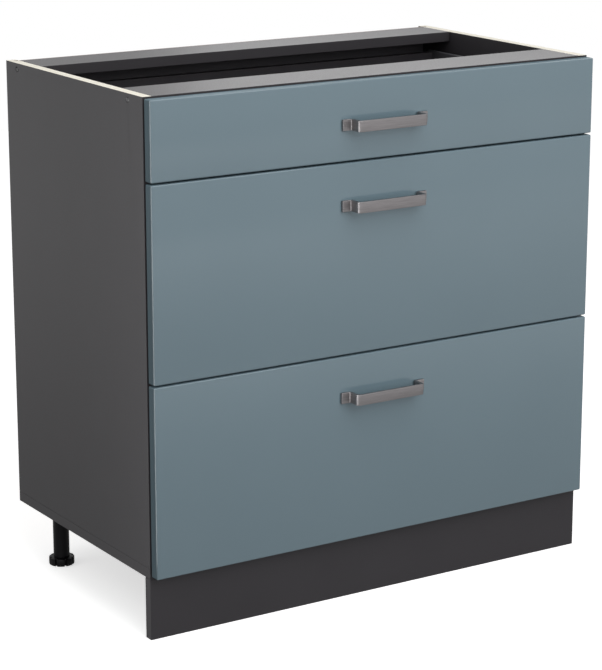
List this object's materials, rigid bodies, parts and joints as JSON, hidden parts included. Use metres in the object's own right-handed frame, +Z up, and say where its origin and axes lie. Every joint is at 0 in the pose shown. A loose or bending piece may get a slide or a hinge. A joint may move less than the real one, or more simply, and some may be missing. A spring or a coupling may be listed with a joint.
{
  "type": "base cabinet with drawers",
  "caption": "Kitchen base cabinet on adjustable legs with a plinth board: a shallow drawer above deep drawers on roller runners, flat gloss fronts and bent strip handles.",
  "frame": {"origin": "on the floor, at the middle of the whole outline in X and Y, handles included", "axes": "+Z up; the drawers open towards -Y; +X to the right of someone who faces the fronts"},
  "size_m": [0.8, 0.4842, 0.816],
  "materials": {
    "anthracite_board": "melamine-faced chipboard, fine pearl texture, semi-matt",
    "back_hardboard": "thin hardboard with an anthracite face",
    "blue_lacquer": "board with a blue-grey high-gloss lacquer",
    "satin_nickel": "satin nickel plating",
    "drawer_steel": "grey powder-coated sheet steel",
    "zinc_steel": "zinc-plated sheet steel",
    "roller_nylon": "white moulded nylon",
    "black_plastic": "black moulded plastic"
  },
  "bodies": {
    "carcass": {"side_panel_left": "anthracite_board", "side_panel_right": "anthracite_board", "bottom_panel": "anthracite_board", "back_panel": "back_hardboard", "front_rail": "anthracite_board", "rear_rail": "anthracite_board", "plinth_board": "anthracite_board", "plinth_clip_left": "black_plastic", "plinth_clip_right": "black_plastic", "leg_front_left": "black_plastic", "leg_front_right": "black_plastic", "leg_rear_left": "black_plastic", "leg_rear_right": "black_plastic", "top_runner_left": "zinc_steel", "top_runner_right": "zinc_steel", "middle_runner_left": "zinc_steel", "middle_runner_right": "zinc_steel", "bottom_runner_left": "zinc_steel", "bottom_runner_right": "zinc_steel"},
    "top_drawer": {"top_front": "blue_lacquer", "top_handle": "satin_nickel", "top_bottom_board": "anthracite_board", "top_back_board": "anthracite_board", "top_side_left": "drawer_steel", "top_side_right": "drawer_steel"},
    "middle_drawer": {"middle_front": "blue_lacquer", "middle_handle": "satin_nickel", "middle_bottom_board": "anthracite_board", "middle_back_board": "anthracite_board", "middle_side_left": "drawer_steel", "middle_side_right": "drawer_steel", "middle_gallery_left": "drawer_steel", "middle_gallery_right": "drawer_steel"},
    "bottom_drawer": {"bottom_front": "blue_lacquer", "bottom_handle": "satin_nickel", "bottom_bottom_board": "anthracite_board", "bottom_back_board": "anthracite_board", "bottom_side_left": "drawer_steel", "bottom_side_right": "drawer_steel", "bottom_gallery_left": "drawer_steel", "bottom_gallery_right": "drawer_steel"},
    "top_front_roller_left": {"top_front_roller_left": "roller_nylon"},
    "top_front_roller_right": {"top_front_roller_right": "roller_nylon"},
    "top_rear_roller_left": {"top_rear_roller_left": "roller_nylon"},
    "top_rear_roller_right": {"top_rear_roller_right": "roller_nylon"},
    "middle_front_roller_left": {"middle_front_roller_left": "roller_nylon"},
    "middle_front_roller_right": {"middle_front_roller_right": "roller_nylon"},
    "middle_rear_roller_left": {"middle_rear_roller_left": "roller_nylon"},
    "middle_rear_roller_right": {"middle_rear_roller_right": "roller_nylon"},
    "bottom_front_roller_left": {"bottom_front_roller_left": "roller_nylon"},
    "bottom_front_roller_right": {"bottom_front_roller_right": "roller_nylon"},
    "bottom_rear_roller_left": {"bottom_rear_roller_left": "roller_nylon"},
    "bottom_rear_roller_right": {"bottom_rear_roller_right": "roller_nylon"},
    "foot_front_left": {"foot_front_left": "black_plastic"},
    "foot_front_right": {"foot_front_right": "black_plastic"},
    "foot_rear_left": {"foot_rear_left": "black_plastic"},
    "foot_rear_right": {"foot_rear_right": "black_plastic"}
  },
  "joints": [
    {"name": "top_drawer_slide", "type": "slide", "parent": "carcass", "child": "top_drawer", "axis": [0, -1, 0], "range_m": [0, 0.3]},
    {"name": "middle_drawer_slide", "type": "slide", "parent": "carcass", "child": "middle_drawer", "axis": [0, -1, 0], "range_m": [0, 0.3]},
    {"name": "bottom_drawer_slide", "type": "slide", "parent": "carcass", "child": "bottom_drawer", "axis": [0, -1, 0], "range_m": [0, 0.3]},
    {"name": "top_front_roller_left_spin", "type": "hinge", "parent": "carcass", "child": "top_front_roller_left", "pos_m": [-0.37525, -0.1779, 0.7075], "axis": [1, 0, 0], "continuous": true},
    {"name": "top_front_roller_right_spin", "type": "hinge", "parent": "carcass", "child": "top_front_roller_right", "pos_m": [0.37525, -0.1779, 0.7075], "axis": [1, 0, 0], "continuous": true},
    {"name": "top_rear_roller_left_spin", "type": "hinge", "parent": "top_drawer", "child": "top_rear_roller_left", "pos_m": [-0.37775, 0.1773, 0.7075], "axis": [1, 0, 0], "continuous": true},
    {"name": "top_rear_roller_right_spin", "type": "hinge", "parent": "top_drawer", "child": "top_rear_roller_right", "pos_m": [0.37775, 0.1773, 0.7075], "axis": [1, 0, 0], "continuous": true},
    {"name": "middle_front_roller_left_spin", "type": "hinge", "parent": "carcass", "child": "middle_front_roller_left", "pos_m": [-0.37525, -0.1779, 0.43515], "axis": [1, 0, 0], "continuous": true},
    {"name": "middle_front_roller_right_spin", "type": "hinge", "parent": "carcass", "child": "middle_front_roller_right", "pos_m": [0.37525, -0.1779, 0.43515], "axis": [1, 0, 0], "continuous": true},
    {"name": "middle_rear_roller_left_spin", "type": "hinge", "parent": "middle_drawer", "child": "middle_rear_roller_left", "pos_m": [-0.37775, 0.1773, 0.43515], "axis": [1, 0, 0], "continuous": true},
    {"name": "middle_rear_roller_right_spin", "type": "hinge", "parent": "middle_drawer", "child": "middle_rear_roller_right", "pos_m": [0.37775, 0.1773, 0.43515], "axis": [1, 0, 0], "continuous": true},
    {"name": "bottom_front_roller_left_spin", "type": "hinge", "parent": "carcass", "child": "bottom_front_roller_left", "pos_m": [-0.37525, -0.1779, 0.1378], "axis": [1, 0, 0], "continuous": true},
    {"name": "bottom_front_roller_right_spin", "type": "hinge", "parent": "carcass", "child": "bottom_front_roller_right", "pos_m": [0.37525, -0.1779, 0.1378], "axis": [1, 0, 0], "continuous": true},
    {"name": "bottom_rear_roller_left_spin", "type": "hinge", "parent": "bottom_drawer", "child": "bottom_rear_roller_left", "pos_m": [-0.37775, 0.1773, 0.1378], "axis": [1, 0, 0], "continuous": true},
    {"name": "bottom_rear_roller_right_spin", "type": "hinge", "parent": "bottom_drawer", "child": "bottom_rear_roller_right", "pos_m": [0.37775, 0.1773, 0.1378], "axis": [1, 0, 0], "continuous": true},
    {"name": "foot_front_left_height", "type": "slide", "parent": "carcass", "child": "foot_front_left", "axis": [0, 0, -1], "range_m": [0, 0.02]},
    {"name": "foot_front_right_height", "type": "slide", "parent": "carcass", "child": "foot_front_right", "axis": [0, 0, -1], "range_m": [0, 0.02]},
    {"name": "foot_rear_left_height", "type": "slide", "parent": "carcass", "child": "foot_rear_left", "axis": [0, 0, -1], "range_m": [0, 0.02]},
    {"name": "foot_rear_right_height", "type": "slide", "parent": "carcass", "child": "foot_rear_right", "axis": [0, 0, -1], "range_m": [0, 0.02]}
  ],
  "couplings": [
    {"joint": "top_front_roller_left_spin", "follows": "top_drawer_slide", "rad_per_m": 95.238},
    {"joint": "top_front_roller_right_spin", "follows": "top_drawer_slide", "rad_per_m": 95.238},
    {"joint": "top_rear_roller_left_spin", "follows": "top_drawer_slide", "rad_per_m": 95.238},
    {"joint": "top_rear_roller_right_spin", "follows": "top_drawer_slide", "rad_per_m": 95.238},
    {"joint": "middle_front_roller_left_spin", "follows": "middle_drawer_slide", "rad_per_m": 95.238},
    {"joint": "middle_front_roller_right_spin", "follows": "middle_drawer_slide", "rad_per_m": 95.238},
    {"joint": "middle_rear_roller_left_spin", "follows": "middle_drawer_slide", "rad_per_m": 95.238},
    {"joint": "middle_rear_roller_right_spin", "follows": "middle_drawer_slide", "rad_per_m": 95.238},
    {"joint": "bottom_front_roller_left_spin", "follows": "bottom_drawer_slide", "rad_per_m": 95.238},
    {"joint": "bottom_front_roller_right_spin", "follows": "bottom_drawer_slide", "rad_per_m": 95.238},
    {"joint": "bottom_rear_roller_left_spin", "follows": "bottom_drawer_slide", "rad_per_m": 95.238},
    {"joint": "bottom_rear_roller_right_spin", "follows": "bottom_drawer_slide", "rad_per_m": 95.238}
  ]
}
